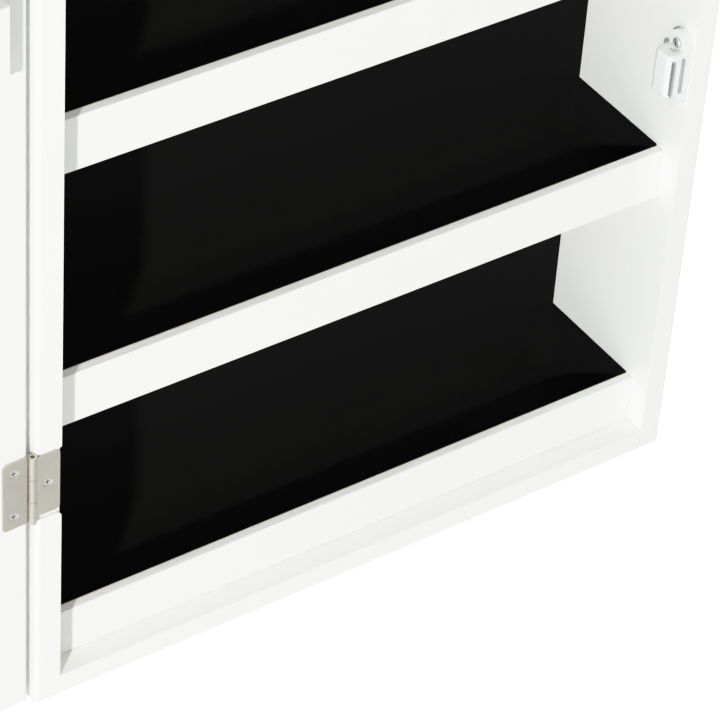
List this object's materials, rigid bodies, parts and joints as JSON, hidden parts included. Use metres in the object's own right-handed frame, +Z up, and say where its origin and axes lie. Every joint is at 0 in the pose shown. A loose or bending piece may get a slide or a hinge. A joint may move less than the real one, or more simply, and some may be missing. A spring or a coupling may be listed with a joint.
{
  "type": "jewelry armoire",
  "caption": "Wall-hung jewelry armoire: shallow white cabinet with fenced black-lined trays, ring rolls, necklace pegs and a mirrored door on butt hinges.",
  "frame": {"origin": "middle of the cabinet's flat back, which lies against the wall", "axes": "+Y into the wall, +Z up, +X to the right for someone facing the cabinet"},
  "size_m": [0.737, 0.1119, 1.2],
  "materials": {
    "white_paint": "MDF board under satin white lacquer",
    "black_felt": "short-pile black flock on board",
    "black_velvet": "black velvet over foam",
    "white_plastic": "moulded, slightly glossy",
    "ferrite": "dark sintered magnet",
    "bare_steel": "zinc-plated sheet",
    "satin_nickel": "satin nickel plate",
    "mirror": "silvered glass"
  },
  "bodies": {
    "cabinet": {"back_lining": "black_felt", "back_panel": "white_paint", "bottom_panel": "white_paint", "catch_body_1": "white_plastic", "catch_body_2": "white_plastic", "catch_magnet_1": "ferrite", "catch_magnet_2": "ferrite", "catch_poles_1": "bare_steel", "catch_poles_2": "bare_steel", "catch_screws": "satin_nickel", "hang_rail": "white_paint", "hinge_leaf_cabinet_1": "satin_nickel", "hinge_leaf_cabinet_2": "satin_nickel", "hinge_leaf_cabinet_3": "satin_nickel", "hinge_pin_1": "satin_nickel", "hinge_pin_2": "satin_nickel", "hinge_pin_3": "satin_nickel", "hinge_screws_cabinet": "satin_nickel", "necklace_pegs": "satin_nickel", "peg_rail": "white_paint", "ring_roll_1": "black_velvet", "ring_roll_2": "black_velvet", "ring_roll_3": "black_velvet", "ring_roll_4": "black_velvet", "ring_roll_5": "black_velvet", "shelf_board_2": "white_paint", "shelf_board_3": "white_paint", "shelf_board_4": "white_paint", "shelf_board_5": "white_paint", "side_panel_left": "white_paint", "side_panel_right": "white_paint", "top_panel": "white_paint", "tray_fence_1": "white_paint", "tray_fence_2": "white_paint", "tray_fence_3": "white_paint", "tray_fence_4": "white_paint", "tray_fence_5": "white_paint", "tray_lining_1": "black_felt", "tray_lining_2": "black_felt", "tray_lining_3": "black_felt", "tray_lining_4": "black_felt", "tray_lining_5": "black_felt"},
    "door": {"door_ledge_lower": "white_paint", "door_ledge_upper": "white_paint", "door_panel": "white_paint", "door_rail_bottom": "white_paint", "door_rail_top": "white_paint", "door_stile_free": "white_paint", "door_stile_hinge": "white_paint", "earring_board": "black_felt", "hinge_leaf_door_1": "satin_nickel", "hinge_leaf_door_2": "satin_nickel", "hinge_leaf_door_3": "satin_nickel", "hinge_screws_door": "satin_nickel", "knob": "satin_nickel", "knob_stud": "satin_nickel", "mirror_glass": "mirror", "strike_plate_1": "bare_steel", "strike_plate_2": "bare_steel", "strike_screws": "satin_nickel"}
  },
  "joints": [
    {"name": "door_hinge", "type": "hinge", "parent": "cabinet", "child": "door", "pos_m": [-0.1849, -0.085, 0], "axis": [0, 0, 1], "range_deg": [-3, 177]}
  ]
}
